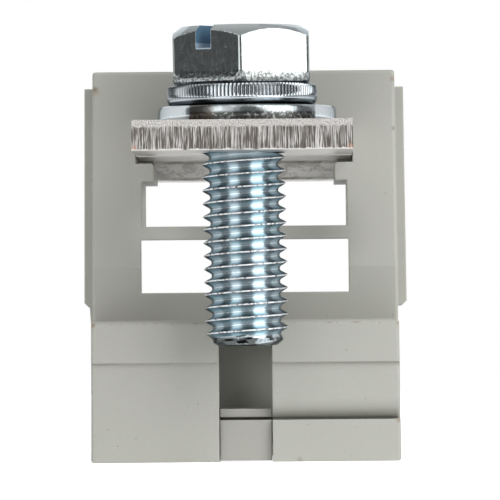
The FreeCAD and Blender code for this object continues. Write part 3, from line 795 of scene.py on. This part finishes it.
def cut_with(target, cutter):
    """Apply a boolean difference and give the result back as a bmesh."""
    modifier = target.modifiers.new("cut", "BOOLEAN")
    modifier.operation = "DIFFERENCE"
    modifier.solver = "EXACT"
    modifier.object = cutter
    graph = bpy.context.evaluated_depsgraph_get()
    bm = bmesh.new()
    bm.from_mesh(target.evaluated_get(graph).to_mesh())
    for used in (target, cutter):
        bpy.data.objects.remove(used)
    return bm


def slot_cutter():
    bm = bmesh.new()
    bmesh.ops.create_cube(bm, size=1.0)
    bmesh.ops.scale(bm, vec=(SLOT_WIDE, CUTTER_LONG, CUTTER_HIGH), verts=bm.verts)
    turn = Matrix.Rotation(-SLOT_TURN, 4, "Z")
    bmesh.ops.transform(bm, matrix=turn, verts=bm.verts)
    middle_z = SEAT_Z + HEAD_HIGH - SLOT_DEEP + CUTTER_HIGH / 2
    bmesh.ops.translate(bm, vec=(0, 0, middle_z), verts=bm.verts)
    bmesh.ops.recalc_face_normals(bm, faces=bm.faces)
    return new_object("slot_cutter", bm)


head = new_object("head_blank", shape_head())
bolt = cut_with(head, slot_cutter())
thread = spin_thread()
thread_mesh = bpy.data.meshes.new("thread")
thread.to_mesh(thread_mesh)
thread.free()
bolt.from_mesh(thread_mesh)
for height in (TIP_Z, SEAT_Z - NECK):
    open_edges = [edge for edge in bolt.edges if edge.is_boundary]
    rim = [edge for edge in open_edges if abs(edge.verts[0].co.z - height) < 0.01 * MM]
    bmesh.ops.edgeloop_fill(bolt, edges=rim)
print("open edges left on the bolt:", sum(edge.is_boundary for edge in bolt.edges))
for face in bolt.faces:
    middle = face.calc_center_median()
    on_thread = TIP_Z + 1.0 * MM < middle.z < SEAT_Z - NECK
    on_flank = math.hypot(middle.x, middle.y) < CREST - 0.10 * MM
    face.material_index = int(on_thread and on_flank)
bmesh.ops.translate(bolt, verts=bolt.verts, vec=AXIS)
LEAN = Matrix.Rotation(LEAN_ANGLE, 3, "Y")
LEAN_ABOUT = Vector((AXIS.x, AXIS.y, LEAN_Z))
bmesh.ops.rotate(bolt, verts=bolt.verts, cent=LEAN_ABOUT, matrix=LEAN)
for vert in bolt.verts:
    vert.co.z = min(vert.co.z, bolt_high.z)
threaded_bolt = finish_piece(
    "threaded_bolt", bolt, zinc_bolt, "bolt", "terminal_bolt", 34
)
threaded_bolt.data.materials.append(zinc_thread)


# %% [markdown]
# ## Spring washer
#
# A spring washer is one turn of square wire with rounded corners, cut through on a slant. This
# one has fine ribs on the upper part of its edge. The wire's outline is spun almost all the way
# round, in four steps to a rib. The first of the four stays, the others are pressed in, and the
# middle one of them the deepest.

# %% Spin the spring washer
ring_low, ring_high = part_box("spring_washer")
RING_OUTER_MM = 7.2
SPLIT_MM = 1.2
SKEW_MM = 1.0
RIBS = 116
RIB_DEPTHS_MM = (0.0, 0.08, 0.15, 0.08)


def shape_spring_washer():
    bm = bmesh.new()
    thick = ring_high.z - ring_low.z
    outer = RING_OUTER_MM * MM
    inner = 4.15 * MM
    wire = [
        (inner, 0.25 * MM),
        (inner, thick - 0.25 * MM),
        (inner + 0.08 * MM, thick - 0.08 * MM),
        (inner + 0.25 * MM, thick),
        (outer - 0.42 * MM, thick),
        (outer - 0.24 * MM, thick - 0.05 * MM),
        (outer - 0.08 * MM, thick - 0.20 * MM),
        (outer - 0.04 * MM, thick - 0.45 * MM),
        (outer - 0.03 * MM, thick - 0.90 * MM),
        (outer - 0.03 * MM, thick - 1.20 * MM),
        (outer - 0.01 * MM, thick - 1.32 * MM),
        (outer, 0.72 * MM),
        (outer - 0.03 * MM, 0.56 * MM),
        (outer - 0.11 * MM, 0.36 * MM),
        (outer - 0.26 * MM, 0.18 * MM),
        (outer - 0.46 * MM, 0.06 * MM),
        (outer - 0.70 * MM, 0.0),
        (inner + 0.25 * MM, 0.0),
        (inner + 0.08 * MM, 0.08 * MM),
        (inner, 0.25 * MM),
    ]
    gap = SPLIT_MM / RING_OUTER_MM
    steps = RIBS * len(RIB_DEPTHS_MM)
    outline = chain(bm, wire)
    start = Matrix.Rotation(math.pi / 2 + gap / 2, 3, "Z")
    bmesh.ops.rotate(bm, verts=bm.verts, cent=(0, 0, 0), matrix=start)
    spin(bm, outline, steps, merge=False, angle=2 * math.pi - gap)
    bmesh.ops.remove_doubles(bm, verts=bm.verts, dist=1e-7)
    for vert in bm.verts:
        radius = math.hypot(vert.co.x, vert.co.y)
        angle = (math.atan2(vert.co.y, vert.co.x) - math.pi / 2 - gap / 2) % (2 * math.pi)
        step = round(angle / (2 * math.pi - gap) * steps)
        ribbed = radius > outer - 0.13 * MM and vert.co.z > thick - 1.25 * MM
        if ribbed:
            depth = RIB_DEPTHS_MM[step % len(RIB_DEPTHS_MM)] * MM
            draw_in(vert, 1 - depth / radius)
        near_gap = max(0.0, 1 - min(angle, 2 * math.pi - gap - angle) / 0.35)
        slant = (vert.co.z - thick / 2) / thick * near_gap * SKEW_MM / RING_OUTER_MM
        vert.co = Matrix.Rotation(-slant, 3, "Z") @ vert.co
    ends = [edge for edge in bm.edges if edge.is_boundary]
    bmesh.ops.edgeloop_fill(bm, edges=ends)
    bmesh.ops.translate(bm, verts=bm.verts, vec=(AXIS.x, AXIS.y, ring_low.z))
    bmesh.ops.rotate(bm, verts=bm.verts, cent=LEAN_ABOUT, matrix=LEAN)
    return bm


finish_piece(
    "ribbed_spring_washer",
    shape_spring_washer(),
    zinc_spring,
    "washers",
    "spring_washer",
)

# %% [markdown]
# ## Flat washer
#
# A washer is punched from sheet. The punch draws its upper rim down into a soft curve and leaves
# the edge widest in the middle, with a rougher band below, which the finish shows. The outline
# is spun all the way round.

# %% Spin the flat washer
washer_low, washer_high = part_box("flat_washer")


def shape_flat_washer():
    bm = bmesh.new()
    thick = washer_high.z - washer_low.z
    outer = (washer_high.x - washer_low.x) / 2
    inner = 4.5 * MM
    outline = [
        (inner, 0.10 * MM),
        (inner, thick - 0.12 * MM),
        (inner + 0.12 * MM, thick),
        (outer - 0.34 * MM, thick),
        (outer - 0.20 * MM, thick - 0.04 * MM),
        (outer - 0.11 * MM, thick - 0.13 * MM),
        (outer - 0.055 * MM, thick - 0.28 * MM),
        (outer - 0.02 * MM, thick - 0.50 * MM),
        (outer, 0.72 * MM),
        (outer, 0.55 * MM),
        (outer - 0.02 * MM, 0.30 * MM),
        (outer - 0.06 * MM, 0.10 * MM),
        (outer - 0.10 * MM, 0.0),
        (inner + 0.10 * MM, 0.0),
        (inner, 0.10 * MM),
    ]
    spin(bm, chain(bm, outline), 180)
    middle = (washer_low.x + washer_high.x) / 2
    bmesh.ops.translate(bm, verts=bm.verts, vec=(middle, AXIS.y, washer_low.z))
    return bm


finish_piece(
    "punched_washer",
    shape_flat_washer(),
    zinc_washer,
    "washers",
    "flat_washer",
    50,
)

# %% [markdown]
# ## Floor, backdrop and light
#
# The photograph is a cut-out on white. Here the world is white to the camera and in mirrors,
# but weak as a light. The floor adds light of its own for those same rays, so that it runs into
# the white and still keeps the object's shadow. Two soft boxes light the block: a large one at
# the right and a weaker one at the left. A third, weak one lights its back. Metal also needs
# something dark to mirror, so one dark card stands between the two boxes and one beyond each,
# and a small one lies on the floor below the bolt. They are hidden from the camera and only
# show in reflections.

# %% World
AMBIENT = 0.24
FLOOR_GLOW = 0.80
world = bpy.data.worlds.new("white_studio")
bpy.context.scene.world = world
world.use_nodes = True
sky = Tree(world.node_tree)
background = world.node_tree.nodes["Background"]
level = sky.add("ShaderNodeMapRange", {0: sky.shown(), 3: AMBIENT, 4: 1.0}).outputs[0]
sky.feed(background.inputs["Color"], (1, 1, 1, 1))
sky.feed(background.inputs["Strength"], level)


# %% Floor
def floor_finish():
    n = Nodes("pale_floor")
    n.set(Base_Color=(0.86, 0.86, 0.86, 1), Roughness=0.9)
    n.shader.inputs["Specular IOR Level"].default_value = 0.0
    strength = n.math("MULTIPLY", n.shown(), FLOOR_GLOW)
    glow = n.add("ShaderNodeEmission", {"Color": (1, 1, 1, 1), "Strength": strength})
    both = n.add("ShaderNodeAddShader", {0: n.shader.outputs[0], 1: glow.outputs[0]})
    n.feed(n.tree.nodes["Material Output"].inputs["Surface"], both.outputs[0])
    return n.material


floor_bm = bmesh.new()
bmesh.ops.create_grid(floor_bm, x_segments=1, y_segments=1, size=6.0)
floor = new_object("floor", floor_bm)
floor.data.materials.append(floor_finish())

# %% Soft boxes and dark cards
MIDDLE = Vector((0, -0.03, 0.025))
BOX_AWAY = 1.1
CARD_AWAY = 1.5
CARD_HIGH = 2.4
CARD_RAISED = 25


def around(azimuth, elevation, distance):
    """A place seen from the block: azimuth 0 is towards the camera, positive to the right."""
    a, e = math.radians(azimuth), math.radians(elevation)
    away = Vector((math.sin(a) * math.cos(e), -math.cos(a) * math.cos(e), math.sin(e)))
    return MIDDLE + distance * away


def soft_box(name, azimuth, elevation, wide, high, brightness):
    data = bpy.data.lights.new(name, "AREA")
    data.shape = "RECTANGLE"
    data.size = wide
    data.size_y = high
    data.energy = brightness * math.pi * wide * high
    lamp = bpy.data.objects.new(name, data)
    bpy.context.collection.objects.link(lamp)
    lamp.location = around(azimuth, elevation, BOX_AWAY)
    lamp.rotation_euler = (MIDDLE - lamp.location).to_track_quat("-Z", "Y").to_euler()


def dark_card(name, centre, wide, high, glow):
    bm = bmesh.new()
    bmesh.ops.create_grid(bm, x_segments=1, y_segments=1, size=0.5)
    bmesh.ops.scale(bm, vec=(wide, high, 1), verts=bm.verts)
    facing = (MIDDLE - centre).to_track_quat("Z", "Y").to_matrix().to_4x4()
    bmesh.ops.transform(bm, matrix=Matrix.Translation(centre) @ facing, verts=bm.verts)
    card = new_object(name, bm)
    n = Nodes(name)
    n.set(Base_Color=(0.02, 0.02, 0.02, 1), Roughness=1.0)
    n.set(Emission_Color=(0.94, 0.98, 1, 1), Emission_Strength=glow)
    card.data.materials.append(n.material)
    card.visible_camera = False
    card.visible_diffuse = False
    card.visible_shadow = False


soft_box("right_box", 44, 30, 0.88, 1.30, 3.35)
soft_box("left_box", -33, 30, 0.74, 1.30, 1.5)
soft_box("rear_box", 180, 18, 1.0, 0.6, 1.0)
for card_name, card_azimuth, card_wide, card_glow in (
    ("front_card", 1, 1.42, 0.165),
    ("left_card", -66, 1.12, 0.13),
    ("right_card", 79, 0.90, 0.17),
):
    card_at = around(card_azimuth, CARD_RAISED, CARD_AWAY)
    dark_card(card_name, card_at, card_wide, CARD_HIGH, card_glow)
dark_card("floor_card", Vector((-0.0018, -0.036, 0.0005)), 0.0062, 0.018, 0.02)
